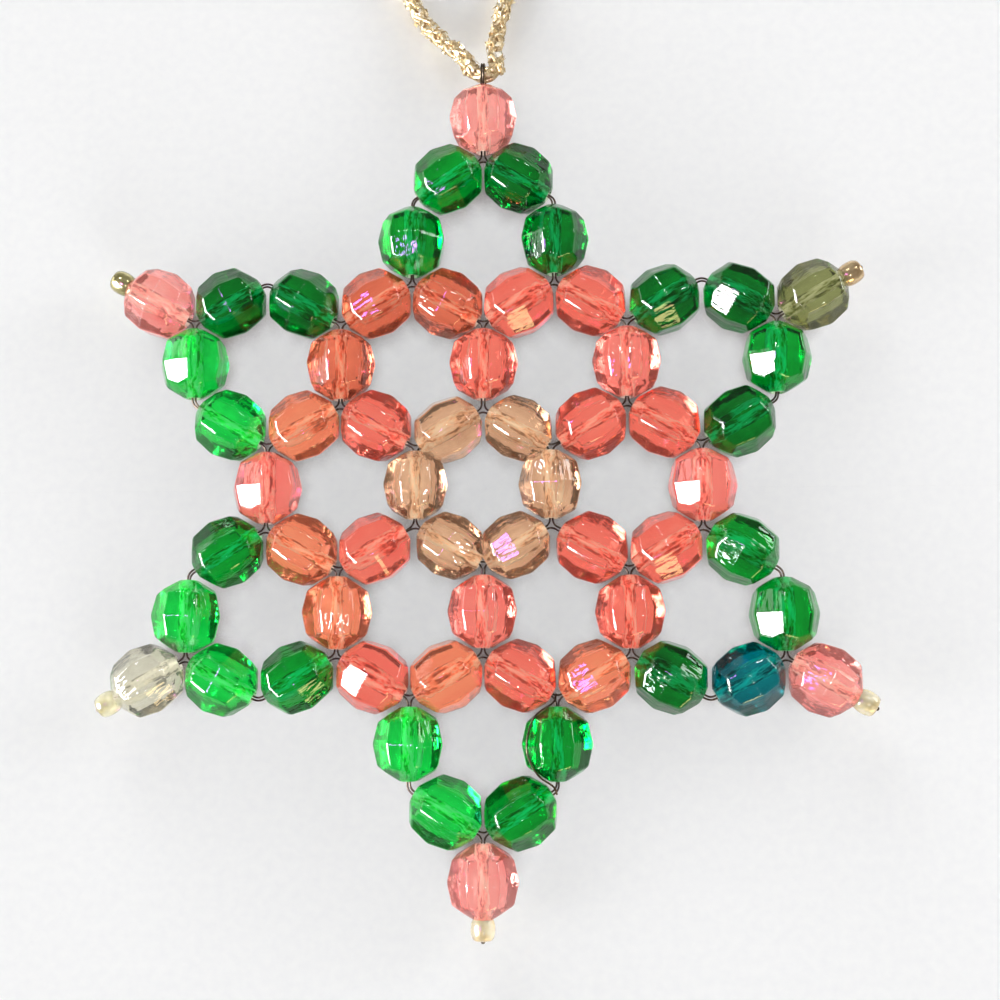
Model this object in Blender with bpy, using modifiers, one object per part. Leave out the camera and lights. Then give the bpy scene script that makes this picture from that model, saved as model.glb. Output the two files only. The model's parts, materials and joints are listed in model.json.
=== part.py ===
"""Beaded star ornament: faceted acrylic beads strung on thin wire in thirteen six-sided cells.

The star lies on its back, as on a table: it spreads in the XY plane, +Y points to the tip that carries
the hanging cord, +Z is up and z = 0 is the surface under it. The origin is below the middle of the star's
box, without the cord. Lengths are in metres.
"""

import math

import bmesh
import bpy
from mathutils import Matrix, Vector

MM = 0.001

# Stringing wire: two passes of thin wire run through every bead and stand here as one core
WIRE_DIAMETER = 0.24 * MM
WIRE_PASSES = 2
WIRE_CORE = WIRE_PASSES * WIRE_DIAMETER
WIRE_CLEARANCE = 0.46 * MM

# Faceted beads: a belt of five-sided facets on each half, a crown of small facets above them and a flat
# rim at the hole. The fullness is how far the crown's middle stands out, from its edges' radius
FACETS = 7
BEAD_DIAMETER = 8.4 * MM
BEAD_LENGTH = 8.4 * MM
RING_BEAD_DIAMETER = 7.8 * MM
RING_BEAD_LENGTH = 8.0 * MM
BEAD_BORE = WIRE_CORE + 2 * WIRE_CLEARANCE
RIM_WIDTH = 0.22 * MM
BELT_LEAN = math.radians(12)
CROWN_LEAN = math.radians(57)
CROWN_FULLNESS = 0.975
BORE_SIDES = 12

# Stopper beads on the ends of five tips
STOPPER_DIAMETER = 2.8 * MM
STOPPER_LENGTH = 2.5 * MM
STOPPER_BORE = 1.0 * MM
STOPPER_SEAT = 0.06 * MM
STOPPER_SEGMENTS = 14
STOPPER_RINGS = 9
WIRE_END = 0.35 * MM

# Bare wire at the end of a bead: the clearance of its rim at a crossing, and what is spare beyond that
CROSSING_CLEARANCE = 0.1 * MM
RING_BARE = 0.55 * MM
RING_DRAW = 0.18 * MM
SPOKE_SPARE = 0.5 * MM
ARM_SIDE_SPARE = 0.22 * MM
ARM_HEAD_SPARE = 0.02 * MM
TIP_SPARE = 0.1 * MM

# Hanging cord and the wire eye that holds its fold
CORD_DIAMETER = 2.0 * MM
CORD_STEPS = 2.6 * MM
EYE_CLEARANCE = 0.2 * MM
EYE_WIRE = 0.4 * MM
EYE_POINTS = 12
CORD_EYE_GAP = 0.3 * MM
CORD_BEVEL_RESOLUTION = 2

# Route of the cord as it lies, from one side of the eye round to the other: across and away from the
# eye's middle, and how far it has come down from the eye to the table, from 0 to 1
CORD_ROUTE_MM = (
    (-1.45, 0.0, 0.0),
    (-1.55, 1.1, 0.04),
    (-2.7, 2.7, 0.22),
    (-4.6, 4.6, 0.52),
    (-6.5, 6.8, 0.84),
    (-8.3, 9.6, 1.0),
    (-10.6, 14.6, 1.0),
    (-12.9, 21.2, 1.0),
    (-14.5, 28.6, 1.0),
    (-15.0, 36.4, 1.0),
    (-13.9, 44.0, 1.0),
    (-11.0, 50.6, 1.0),
    (-6.4, 55.4, 1.0),
    (-0.6, 57.5, 1.0),
    (5.0, 56.2, 1.0),
    (9.2, 51.8, 1.0),
    (11.3, 45.6, 1.0),
    (11.6, 38.4, 1.0),
    (10.5, 30.8, 1.0),
    (7.8, 23.4, 1.0),
    (4.8, 16.6, 1.0),
    (2.5, 10.6, 1.0),
    (1.8, 7.2, 0.86),
    (1.4, 4.6, 0.52),
    (1.4, 2.4, 0.18),
    (1.45, 1.0, 0.03),
    (1.45, 0.0, 0.0),
)

# The six arms, clockwise from the one that hangs, and the shades of their beads
ARMS = ("top", "upper_right", "lower_right", "bottom", "lower_left", "upper_left")
FIRST_ARM_ANGLE = math.radians(90)
ARM_SHADES = {
    "top": ("green", "green", "deep_green", "deep_green"),
    "upper_right": ("deep_green", "deep_green", "green", "deep_green"),
    "lower_right": ("green", "green", "teal", "deep_green"),
    "bottom": ("green", "green", "bright_green", "bright_green"),
    "lower_left": ("green", "bright_green", "bright_green", "green"),
    "upper_left": ("bright_green", "bright_green", "deep_green", "deep_green"),
}
TIP_SHADES = {
    "top": "rose",
    "upper_right": "olive",
    "lower_right": "rose",
    "bottom": "rose",
    "lower_left": "clear",
    "upper_left": "rose",
}
# Outer beads: left of the arm, right of the arm, and at the corner before the next arm
OUTER_SHADES = {
    "top": ("amber", "coral", "coral"),
    "upper_right": ("pink", "coral", "pink"),
    "lower_right": ("coral", "coral", "orange"),
    "bottom": ("coral", "orange", "coral"),
    "lower_left": ("orange", "orange", "pink"),
    "upper_left": ("orange", "amber", "amber"),
}
SPOKE_SHADES = {
    "top": "coral",
    "upper_right": "coral",
    "lower_right": "coral",
    "bottom": "pink",
    "lower_left": "coral",
    "upper_left": "coral",
}
SHADES = {
    "green": (0.0, 0.36, 0.10),
    "deep_green": (0.0, 0.20, 0.06),
    "bright_green": (0.0, 0.55, 0.16),
    "teal": (0.0, 0.19, 0.25),
    "coral": (0.95, 0.20, 0.13),
    "orange": (0.95, 0.27, 0.10),
    "pink": (0.95, 0.22, 0.22),
    "amber": (0.75, 0.26, 0.12),
    "rose": (0.95, 0.34, 0.30),
    "champagne": (0.72, 0.48, 0.30),
    "olive": (0.38, 0.40, 0.16),
    "clear": (0.85, 0.86, 0.82),
}
WIRE_COLOUR = (0.10, 0.09, 0.08)
CORD_COLOUR = (0.72, 0.55, 0.26)

RIM_RADIUS = BEAD_BORE / 2 + RIM_WIDTH
RIM_CORNER = RIM_RADIUS / math.cos(math.pi / FACETS)
# Where three wires cross at 120 degrees, a rim keeps to its own third of the turn
RIM_REACH = RIM_CORNER / math.tan(math.radians(60))
AXIS_HEIGHT = BEAD_DIAMETER / 2 * math.cos(math.pi / FACETS)

PARTS = "beaded_star_ornament"
CUTTERS = "cutters"


def clear_scene():
    for thing in list(bpy.data.objects):
        bpy.data.objects.remove(thing, do_unlink=True)
    for group in list(bpy.data.collections):
        bpy.data.collections.remove(group)


def new_collection(name):
    group = bpy.data.collections.new(name)
    bpy.context.scene.collection.children.link(group)
    return group


def material(name, colour, roughness, metallic=0.0, transmission=0.0):
    found = bpy.data.materials.get(name)
    if found:
        return found
    made = bpy.data.materials.new(name)
    made.use_nodes = True
    shader = made.node_tree.nodes["Principled BSDF"]
    shader.inputs["Base Color"].default_value = (*colour, 1.0)
    shader.inputs["Roughness"].default_value = roughness
    shader.inputs["Metallic"].default_value = metallic
    shader.inputs["Transmission Weight"].default_value = transmission
    made.diffuse_color = (*colour, 1.0)
    return made


def acrylic(shade):
    return material("acrylic_" + shade, SHADES[shade], roughness=0.08, transmission=0.7)


def add_object(name, data, group, place=None):
    thing = bpy.data.objects.new(name, data)
    group.objects.link(thing)
    if place is not None:
        thing.matrix_world = place
    return thing


def give_material(thing, look):
    if not thing.data.materials:
        thing.data.materials.append(None)
    thing.material_slots[0].link = "OBJECT"
    thing.material_slots[0].material = look


def evaluated_mesh(thing, name):
    graph = bpy.context.evaluated_depsgraph_get()
    made = bpy.data.meshes.new_from_object(thing.evaluated_get(graph))
    made.name = name
    return made


def ring_of_points(radius, height, offset):
    points = []
    for k in range(FACETS):
        angle = (k + offset) * 2 * math.pi / FACETS
        points.append(Vector((radius * math.cos(angle), radius * math.sin(angle), height)))
    return points


def facet_corners(diameter, length):
    """Corners of a bead whose hole runs along Z, worked out from the lean of its facets."""
    half_step = math.cos(math.pi / FACETS)
    belt, crown = math.tan(BELT_LEAN), math.tan(CROWN_LEAN)
    belt_inner = diameter / 2 * half_step
    crown_inner = RIM_RADIUS + crown * length / 2
    # The belt and the kites meet lowest between two belt facets, and highest over the middle of one
    wall_height = (crown_inner - diameter / 2) / (crown - belt / half_step)
    wall_radius = crown_inner - crown * wall_height
    peak_height = (crown_inner / half_step - belt_inner) / (crown / half_step - belt)
    peak_radius = belt_inner - belt * peak_height
    crown_height = (peak_height + length / 2) / 2
    crown_radius = CROWN_FULLNESS * (crown_inner - crown * crown_height) / half_step
    points = ring_of_points(diameter / 2, 0, 0.5)
    for side in (-1, 1):
        points += ring_of_points(wall_radius, side * wall_height, 0.5)
        points += ring_of_points(peak_radius, side * peak_height, 0)
        points += ring_of_points(crown_radius, side * crown_height, 0.5)
        points += ring_of_points(RIM_CORNER, side * length / 2, 0)
    return points


def solid_bead(name, diameter, length, group, place=None):
    shape = bmesh.new()
    for point in facet_corners(diameter, length):
        shape.verts.new(point)
    bmesh.ops.convex_hull(shape, input=shape.verts)
    bmesh.ops.dissolve_limit(
        shape, angle_limit=math.radians(1), verts=shape.verts, edges=shape.edges
    )
    bmesh.ops.recalc_face_normals(shape, faces=shape.faces)
    data = bpy.data.meshes.new(name)
    shape.to_mesh(data)
    shape.free()
    return add_object(name, data, group, place)


def rod(name, radius, length, group, place=None, sides=BORE_SIDES):
    shape = bmesh.new()
    bmesh.ops.create_cone(
        shape, cap_ends=True, segments=sides, radius1=radius, radius2=radius, depth=length
    )
    data = bpy.data.meshes.new(name)
    shape.to_mesh(data)
    shape.free()
    cutter = add_object(name, data, group, place)
    cutter.display_type = "WIRE"
    cutter.hide_render = True
    return cutter


def combine(thing, other, operation):
    step = thing.modifiers.new(operation.lower() + "_" + other.name, "BOOLEAN")
    step.operation = operation
    step.solver = "EXACT"
    step.object = other


def finished(thing, helpers, name):
    """The mesh of thing with its modifiers applied. The helper objects are no longer needed."""
    bpy.context.view_layer.update()
    made = evaluated_mesh(thing, name)
    for helper in [thing, *helpers]:
        bpy.data.objects.remove(helper, do_unlink=True)
    return made


def bored_bead_mesh(cutters):
    bead = solid_bead("bead_blank", BEAD_DIAMETER, BEAD_LENGTH, cutters)
    drill = rod("bead_drill", BEAD_BORE / 2, 2 * BEAD_LENGTH, cutters)
    combine(bead, drill, "DIFFERENCE")
    return finished(bead, [drill], "bead")


def tip_with_stopper_mesh(cutters):
    """A tip bead with its stopper bead drawn hard against its outer end, which is at +Z."""
    bead = solid_bead("tip_blank", BEAD_DIAMETER, BEAD_LENGTH, cutters)
    shape = bmesh.new()
    bmesh.ops.create_uvsphere(
        shape, u_segments=STOPPER_SEGMENTS, v_segments=STOPPER_RINGS, radius=STOPPER_DIAMETER / 2
    )
    squeeze = Matrix.Diagonal((1, 1, STOPPER_LENGTH / STOPPER_DIAMETER, 1))
    bmesh.ops.transform(shape, matrix=squeeze, verts=shape.verts)
    data = bpy.data.meshes.new("stopper_blank")
    shape.to_mesh(data)
    shape.free()
    middle = BEAD_LENGTH / 2 + STOPPER_LENGTH / 2 - STOPPER_SEAT - stopper_pole_depth()
    stopper = add_object("stopper_blank", data, cutters, Matrix.Translation((0, 0, middle)))
    drill = rod("tip_drill", STOPPER_BORE / 2, 4 * BEAD_LENGTH, cutters)
    bead_drill = rod("tip_bead_drill", BEAD_BORE / 2, BEAD_LENGTH, cutters)
    combine(bead, stopper, "UNION")
    combine(bead, drill, "DIFFERENCE")
    combine(bead, bead_drill, "DIFFERENCE")
    return finished(bead, [stopper, drill, bead_drill], "tip_bead_with_stopper")


def stopper_pole_depth():
    """How much of the stopper's rounded end the rim of the tip bead's bore takes in."""
    share = (BEAD_BORE + RIM_WIDTH) / STOPPER_DIAMETER
    return STOPPER_LENGTH / 2 * (1 - math.sqrt(1 - share**2))


def bead_place(centre, direction):
    """A bead's matrix: its hole along the wire, and one flat of its belt turned to the table."""
    down = Vector((0, 0, -1))
    along = Vector((direction.x, direction.y, 0)).normalized()
    side = along.cross(down)
    turn = Matrix((down, side, along)).transposed().to_4x4()
    return Matrix.Translation((centre.x, centre.y, AXIS_HEIGHT)) @ turn


def run_length(spare_at_start=0.0, spare_at_end=0.0):
    """The wire from crossing to crossing through one bead."""
    return BEAD_LENGTH + 2 * (RIM_REACH + CROSSING_CLEARANCE) + spare_at_start + spare_at_end


def turned(angle):
    return Vector((math.cos(angle), math.sin(angle)))


def arm_angle(arm):
    return FIRST_ARM_ANGLE - ARMS.index(arm) * math.pi / 3


def star_reach():
    """Distances of the wire's crossings from the star's middle, along and across an arm."""
    ring = RING_BEAD_LENGTH + 2 * RING_BARE
    spoke = run_length(SPOKE_SPARE)
    outer = run_length()
    hub = ring + spoke
    # A corner bead sits across the line between two arms, half a run on each side of it
    half = outer / 2
    between = math.radians(30)
    middle = hub * math.cos(between)
    across = hub * math.sin(between) - half
    corner = middle + math.sqrt(outer**2 - across**2)
    shoulder_along = corner * math.cos(between) + half * math.sin(between)
    shoulder_across = corner * math.sin(between) - half * math.cos(between)
    elbow_along = shoulder_along + run_length(ARM_SIDE_SPARE, ARM_SIDE_SPARE)
    head = run_length(ARM_HEAD_SPARE, ARM_HEAD_SPARE)
    peak = elbow_along + math.sqrt(head**2 - shoulder_across**2)
    tip = peak + RIM_REACH + CROSSING_CLEARANCE + TIP_SPARE + BEAD_LENGTH / 2
    return {
        "ring": (ring, 0.0),
        "hub": (hub, 0.0),
        "shoulder": (shoulder_along, shoulder_across),
        "elbow": (elbow_along, shoulder_across),
        "peak": (peak, 0.0),
        "tip": (tip, 0.0),
    }


REACH = star_reach()
TIP_OUTER_END = REACH["tip"][0] + BEAD_LENGTH / 2
EYE_RADIUS = CORD_DIAMETER / 2 + EYE_CLEARANCE + EYE_WIRE / 2
EYE_MIDDLE = TIP_OUTER_END + EYE_RADIUS + EYE_WIRE / 2
STOPPER_END = TIP_OUTER_END + STOPPER_LENGTH - STOPPER_SEAT - stopper_pole_depth()
WIRE_TIP_END = STOPPER_END + WIRE_END
TOP_EDGE = EYE_MIDDLE + EYE_RADIUS + EYE_WIRE / 2
STAR_MIDDLE = Vector((0, (WIRE_TIP_END - TOP_EDGE) / 2))


def at(arm, along, across):
    """A place in the star, along an arm and to the right of it as it points outward."""
    out = turned(arm_angle(arm))
    right = Vector((out.y, -out.x))
    return STAR_MIDDLE + out * along + right * across


def crossing(arm, name, side=1):
    along, across = REACH[name]
    return at(arm, along, side * across)


def add_bead(name, start, end, mesh, shade, group, shift=0.0):
    """A bead on the run between two crossings, shifted from its middle towards its end."""
    along = (end - start).normalized()
    bead = add_object(name, mesh, group, bead_place((start + end) / 2 + along * shift, along))
    give_material(bead, acrylic(shade))
    return bead


def add_arm(arm, meshes, group):
    """The spoke, the outer beads beside it, the corner bead after it and the arm's own beads."""
    following = ARMS[(ARMS.index(arm) + 1) % len(ARMS)]
    left_outer, right_outer, corner = OUTER_SHADES[arm]
    left_low, left_high, right_high, right_low = ARM_SHADES[arm]
    ring, hub, peak = (crossing(arm, name) for name in ("ring", "hub", "peak"))
    bead = meshes["bead"]
    add_bead(arm + "_spoke_bead", ring, hub, bead, SPOKE_SHADES[arm], group, SPOKE_SPARE / 2)
    for side_name, side, outer_shade, low_shade, high_shade in (
        ("left", -1, left_outer, left_low, left_high),
        ("right", 1, right_outer, right_low, right_high),
    ):
        shoulder = crossing(arm, "shoulder", side)
        elbow = crossing(arm, "elbow", side)
        add_bead(f"{arm}_outer_bead_{side_name}", hub, shoulder, bead, outer_shade, group)
        add_bead(f"{arm}_arm_bead_{side_name}_low", shoulder, elbow, bead, low_shade, group)
        add_bead(f"{arm}_arm_bead_{side_name}_high", elbow, peak, bead, high_shade, group)
    corner_start = crossing(arm, "shoulder", 1)
    corner_end = crossing(following, "shoulder", -1)
    add_bead(arm + "_corner_bead", corner_start, corner_end, bead, corner, group)
    add_tip(arm, meshes, group)


def add_tip(arm, meshes, group):
    hangs = arm == ARMS[0]
    mesh = meshes["bead"] if hangs else meshes["tip"]
    name = arm + "_tip_bead" + ("" if hangs else "_with_stopper")
    place = bead_place(at(arm, REACH["tip"][0], 0), turned(arm_angle(arm)))
    tip = add_object(name, mesh, group, place)
    give_material(tip, acrylic(TIP_SHADES[arm]))


def ring_bead_place(arm, drawn_to_start):
    """The ring bead after this arm, drawn along the wire towards one of its two crossings."""
    following = ARMS[(ARMS.index(arm) + 1) % len(ARMS)]
    start, end = crossing(arm, "ring"), crossing(following, "ring")
    along = (end - start).normalized()
    draw = -RING_DRAW if drawn_to_start else RING_DRAW
    return bead_place((start + end) / 2 + along * draw, along)


def add_ring_pair(number, first_arm, group, cutters):
    """Two ring beads drawn together so tightly that their rims bear on each other as one piece."""
    second_arm = ARMS[(ARMS.index(first_arm) + 1) % len(ARMS)]
    places = (ring_bead_place(first_arm, False), ring_bead_place(second_arm, True))
    pair, other = (
        solid_bead(f"ring_blank_{k}", RING_BEAD_DIAMETER, RING_BEAD_LENGTH, cutters, places[k])
        for k in (0, 1)
    )
    combine(pair, other, "UNION")
    helpers = [other]
    for k in (0, 1):
        drill_length = RING_BEAD_LENGTH + RING_BARE
        drill = rod(f"ring_drill_{k}", BEAD_BORE / 2, drill_length, cutters, places[k])
        combine(pair, drill, "DIFFERENCE")
        helpers.append(drill)
    mesh = finished(pair, helpers, f"ring_bead_pair_{number}")
    joined = add_object(f"ring_bead_pair_{number}", mesh, group, places[0])
    give_material(joined, acrylic("champagne"))


def wire_paths():
    """The crossings and ends of the wire, and which of them it runs between."""
    points, runs, numbers = [], [], {}

    def number(key, place):
        if key not in numbers:
            numbers[key] = len(points)
            points.append(place)
        return numbers[key]

    for k, arm in enumerate(ARMS):
        following = ARMS[(k + 1) % len(ARMS)]
        ring = number((arm, "ring"), crossing(arm, "ring"))
        next_ring = number((following, "ring"), crossing(following, "ring"))
        hub = number((arm, "hub"), crossing(arm, "hub"))
        peak = number((arm, "peak"), crossing(arm, "peak"))
        end_reach = EYE_MIDDLE - EYE_RADIUS if arm == ARMS[0] else WIRE_TIP_END
        end = number((arm, "end"), at(arm, end_reach, 0))
        runs += [(ring, next_ring), (ring, hub), (peak, end)]
        for side in (-1, 1):
            shoulder = number((arm, "shoulder", side), crossing(arm, "shoulder", side))
            elbow = number((arm, "elbow", side), crossing(arm, "elbow", side))
            runs += [(hub, shoulder), (shoulder, elbow), (elbow, peak)]
        shoulder = numbers[(arm, "shoulder", 1)]
        next_shoulder = number((following, "shoulder", -1), crossing(following, "shoulder", -1))
        runs.append((shoulder, next_shoulder))
    return points, runs, numbers[(ARMS[0], "end")]


def add_wire(group):
    """The wire as one network: a graph of straight runs given its thickness by a Skin modifier."""
    flat, runs, eye_start = wire_paths()
    points = [Vector((p.x, p.y, AXIS_HEIGHT)) for p in flat]
    core_points = len(points)
    eye_middle = Vector((STAR_MIDDLE.x, STAR_MIDDLE.y + EYE_MIDDLE, AXIS_HEIGHT))
    previous = eye_start
    for k in range(1, EYE_POINTS):
        angle = -math.pi / 2 + k * 2 * math.pi / EYE_POINTS
        across = Vector((0, math.sin(angle), math.cos(angle))) * EYE_RADIUS
        points.append(eye_middle + across)
        runs.append((previous, len(points) - 1))
        previous = len(points) - 1
    runs.append((previous, eye_start))
    data = bpy.data.meshes.new("stringing_wire")
    data.from_pydata(points, runs, [])
    wire = add_object("stringing_wire", data, group)
    thicken = wire.modifiers.new("thickness", "SKIN")
    thicken.use_smooth_shade = True
    straighten = wire.modifiers.new("straight_runs", "DECIMATE")
    straighten.decimate_type = "DISSOLVE"
    straighten.angle_limit = math.radians(1)
    for k, corner in enumerate(data.skin_vertices[0].data):
        size = WIRE_CORE / 2 if k < core_points else EYE_WIRE / 2
        corner.radius = (size, size)
        corner.use_root = k == 0
    give_material(wire, material("dark_wire", WIRE_COLOUR, roughness=0.35, metallic=1.0))
    return wire


def smooth_route(points, step):
    """Points a step apart on a smooth curve through the given ones."""
    padded = [points[0] * 2 - points[1], *points, points[-1] * 2 - points[-2]]
    fine = []
    pieces = 24
    for a, b, c, d in zip(padded, padded[1:], padded[2:], padded[3:]):
        for k in range(pieces):
            t = k / pieces
            fine.append(
                (
                    2 * b
                    + (c - a) * t
                    + (2 * a - 5 * b + 4 * c - d) * t**2
                    + (3 * b - a - 3 * c + d) * t**3
                )
                / 2
            )
    fine.append(points[-1])
    travelled = [0.0]
    for start, end in zip(fine, fine[1:]):
        travelled.append(travelled[-1] + (end - start).length)
    count = max(2, round(travelled[-1] / step))
    even, k = [], 0
    for n in range(count):
        wanted = travelled[-1] * n / count
        while travelled[k + 1] < wanted:
            k += 1
        share = (wanted - travelled[k]) / (travelled[k + 1] - travelled[k])
        even.append(fine[k].lerp(fine[k + 1], share))
    even.append(fine[-1])
    return even, travelled[-1]


def cord_points():
    """The cord's route from the eye's middle: it leaves level with the eye and comes down to the table."""
    beside_eye = EYE_WIRE / 2 + CORD_EYE_GAP + CORD_DIAMETER / 2
    drop = AXIS_HEIGHT - CORD_DIAMETER / 2
    first_across = abs(CORD_ROUTE_MM[0][0]) * MM
    points = []
    for across, away, down in CORD_ROUTE_MM:
        shift = math.copysign(beside_eye - first_across, across) * (1 - down)
        points.append(Vector((across * MM + shift, away * MM, -down * drop)))
    return smooth_route(points, CORD_STEPS)


def add_cord(group):
    points, length = cord_points()
    print(f"hanging_cord: {length / MM:.1f} mm long, {len(points)} points")
    data = bpy.data.curves.new("hanging_cord", "CURVE")
    data.dimensions = "3D"
    data.bevel_depth = CORD_DIAMETER / 2
    data.bevel_resolution = CORD_BEVEL_RESOLUTION
    data.use_fill_caps = True
    spline = data.splines.new("POLY")
    spline.points.add(len(points) - 1)
    for corner, point in zip(spline.points, points):
        corner.co = (*point, 1)
    place = Matrix.Translation((STAR_MIDDLE.x, STAR_MIDDLE.y + EYE_MIDDLE, AXIS_HEIGHT))
    cord = add_object("hanging_cord", data, group, place)
    data.materials.append(material("gold_cord", CORD_COLOUR, roughness=0.35, metallic=0.8))
    return cord


def main():
    clear_scene()
    bpy.context.scene.unit_settings.system = "METRIC"
    parts = new_collection(PARTS)
    cutters = new_collection(CUTTERS)
    meshes = {"bead": bored_bead_mesh(cutters), "tip": tip_with_stopper_mesh(cutters)}
    for arm in ARMS:
        add_arm(arm, meshes, parts)
    for number, arm in enumerate(ARMS[0::2], start=1):
        add_ring_pair(number, arm, parts, cutters)
    add_wire(parts)
    add_cord(parts)
    bpy.context.view_layer.update()


if __name__ == "__main__":
    main()
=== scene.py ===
"""Looks of the beaded star ornament: acrylic beads, stringing wire, stopper beads and glitter cord.

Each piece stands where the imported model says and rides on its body. Lengths are in metres and local
+Z of a bead runs along its hole. The star lies on the floor and the camera looks down at it.
"""

import json
import math
import random

import bmesh
import bpy
from mathutils import Matrix, Vector


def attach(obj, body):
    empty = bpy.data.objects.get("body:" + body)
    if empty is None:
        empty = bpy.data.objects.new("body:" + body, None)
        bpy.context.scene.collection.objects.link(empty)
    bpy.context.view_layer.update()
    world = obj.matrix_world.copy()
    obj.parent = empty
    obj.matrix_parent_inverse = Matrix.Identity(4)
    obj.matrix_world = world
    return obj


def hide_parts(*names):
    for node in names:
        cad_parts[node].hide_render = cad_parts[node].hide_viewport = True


MM = 0.001
RNG = random.Random(20)

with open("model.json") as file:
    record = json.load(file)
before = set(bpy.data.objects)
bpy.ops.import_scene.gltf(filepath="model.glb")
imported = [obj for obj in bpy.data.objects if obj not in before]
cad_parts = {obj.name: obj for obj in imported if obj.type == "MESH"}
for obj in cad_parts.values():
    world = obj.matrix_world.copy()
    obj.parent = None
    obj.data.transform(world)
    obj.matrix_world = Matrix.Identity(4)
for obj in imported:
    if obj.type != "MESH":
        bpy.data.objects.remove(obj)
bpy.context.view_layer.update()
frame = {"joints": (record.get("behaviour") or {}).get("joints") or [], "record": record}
ROOT = "strung_wire_and_ring"
LOOP = "hanging_loop"

# Sizes repeated from the part's source
BEAD_DIAMETER, BEAD_LENGTH = 8.4 * MM, 8.4 * MM
RING_BEAD_DIAMETER, RING_BEAD_LENGTH = 7.8 * MM, 8.0 * MM
FACETS = 7
BORE_RADIUS = 0.7 * MM
RIM_RADIUS = 0.92 * MM
BELT_LEAN, CROWN_LEAN = math.radians(12), math.radians(57)
CROWN_FULLNESS = 0.975
AXIS_HEIGHT = BEAD_DIAMETER / 2 * math.cos(math.pi / FACETS)
CORD_DIAMETER = 2.0 * MM
WIRE_DIAMETER = 0.24 * MM
ARMS = ("top", "upper_right", "lower_right", "bottom", "lower_left", "upper_left")
ARM_COUNT = len(ARMS)

SCENE = bpy.context.scene


def joint_of(node):
    return next(joint for joint in frame["joints"] if joint["child"] == node)


def link(thing):
    SCENE.collection.objects.link(thing)
    return thing


def new_object(name, mesh, place=None):
    thing = link(bpy.data.objects.new(name, mesh))
    if place is not None:
        thing.matrix_world = place
    return thing


# Camera, fitted to the bead centres seen in the photograph

SENSOR_WIDTH_MM, LENS_MM = 36, 52.26
CAMERA_AT = Vector((0.0092, -0.0257, 0.17))
CAMERA_PITCH, CAMERA_YAW, CAMERA_ROLL = (math.radians(angle) for angle in (8.14, 2.47, -0.44))


def add_camera():
    data = bpy.data.cameras.new("camera")
    data.sensor_width, data.lens = SENSOR_WIDTH_MM, LENS_MM
    data.clip_start, data.clip_end = 0.01, 10
    camera = link(bpy.data.objects.new("camera", data))
    turn = (
        Matrix.Rotation(CAMERA_PITCH, 4, "X")
        @ Matrix.Rotation(CAMERA_YAW, 4, "Y")
        @ Matrix.Rotation(CAMERA_ROLL, 4, "Z")
    )
    camera.matrix_world = Matrix.Translation(CAMERA_AT) @ turn
    SCENE.camera = camera


# Where the window stands, which the bright facets mirror to the camera
WINDOW = Vector((-0.42, -0.11, 0.25))


def area_light(name, at, size, power, colour=(1, 1, 1), unlit=("diffuse",)):
    """A lamp that faces the star and gives no light of the unlit kinds, such as diffuse."""
    data = bpy.data.lights.new(name, "AREA")
    data.shape = "RECTANGLE"
    data.size, data.size_y = size
    data.energy = power
    data.color = colour
    lamp = link(bpy.data.objects.new(name, data))
    lamp.location = at
    lamp.rotation_mode = "QUATERNION"
    lamp.rotation_quaternion = (Vector((0, 0, 0)) - Vector(at)).to_track_quat("-Z", "Y")
    for kind in ("camera", *unlit):
        setattr(lamp, "visible_" + kind, False)
    return lamp


# Node materials

# The places of a Mix node's colour sockets: two among its inputs and one among its outputs
MIX_FIRST, MIX_SECOND, MIX_RESULT = 6, 7, 2


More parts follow.
